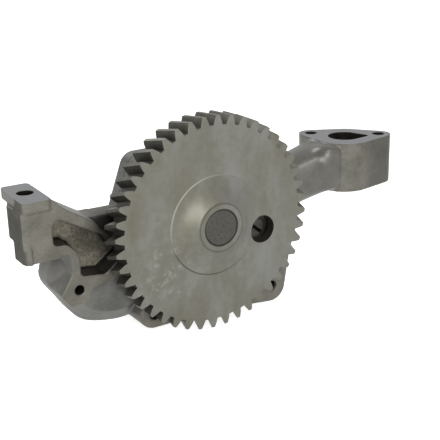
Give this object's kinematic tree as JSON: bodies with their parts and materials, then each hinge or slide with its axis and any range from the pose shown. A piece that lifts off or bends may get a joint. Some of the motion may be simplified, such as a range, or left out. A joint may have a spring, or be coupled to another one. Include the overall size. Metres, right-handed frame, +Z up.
{
  "type": "engine oil pump",
  "caption": "Gear-driven engine oil pump: iron housing with a bracket arm and an outlet arm with flange, helical drive gear, pump gears inside, relief valve.",
  "frame": {"origin": "middle between the outlet flange's two bolt holes, on its machined top face", "axes": "+Z up, out of the outlet flange's face; +X from the bracket arm towards the outlet flange, along the length; +Y away from the drive gear, along the shafts"},
  "size_m": [0.291, 0.0864, 0.149],
  "materials": {
    "housing_iron": "as cast, oiled",
    "cover_iron": "as cast, oiled",
    "gear_steel": "turned, stained",
    "shaft_steel": "ground",
    "pump_gear_steel": "ground",
    "bronze": "turned",
    "washer_steel": "plain",
    "spring_steel": "oiled",
    "bolt_steel": "blackened",
    "seal_aluminium": "soft"
  },
  "bodies": {
    "housing": {"pump_housing": "housing_iron", "rear_cover": "cover_iron", "front_bush": "bronze", "rear_bush": "bronze", "idler_axle": "shaft_steel", "cover_bolts": "bolt_steel", "cover_washers": "washer_steel", "dowel_pins": "shaft_steel", "relief_spring": "spring_steel", "relief_plug": "bolt_steel", "relief_seal_ring": "seal_aluminium", "gallery_plug": "bolt_steel"},
    "drive": {"drive_gear": "gear_steel", "drive_shaft": "shaft_steel", "pump_gear_key": "shaft_steel", "driving_pump_gear": "pump_gear_steel", "thrust_washer": "washer_steel", "rear_washer": "washer_steel", "retaining_ring": "spring_steel"},
    "idler": {"driven_pump_gear": "pump_gear_steel", "idler_bush": "bronze"},
    "plunger": {"relief_plunger": "shaft_steel"}
  },
  "joints": [
    {"name": "drive_spin", "type": "hinge", "parent": "housing", "child": "drive", "pos_m": [-0.138, 0, -0.033], "axis": [0, 1, 0], "continuous": true},
    {"name": "idler_spin", "type": "hinge", "parent": "housing", "child": "idler", "pos_m": [-0.12537, 0, -0.07306], "axis": [0, 1, 0], "continuous": true},
    {"name": "relief_slide", "type": "slide", "parent": "housing", "child": "plunger", "axis": [0, 0, 1], "range_m": [0, 0.0075], "stiffness_N_per_m": 3000, "springref_m": -0.012, "deforming": ["relief_spring"]}
  ],
  "couplings": [
    {"joint": "idler_spin", "follows": "drive_spin", "ratio": -1}
  ]
}
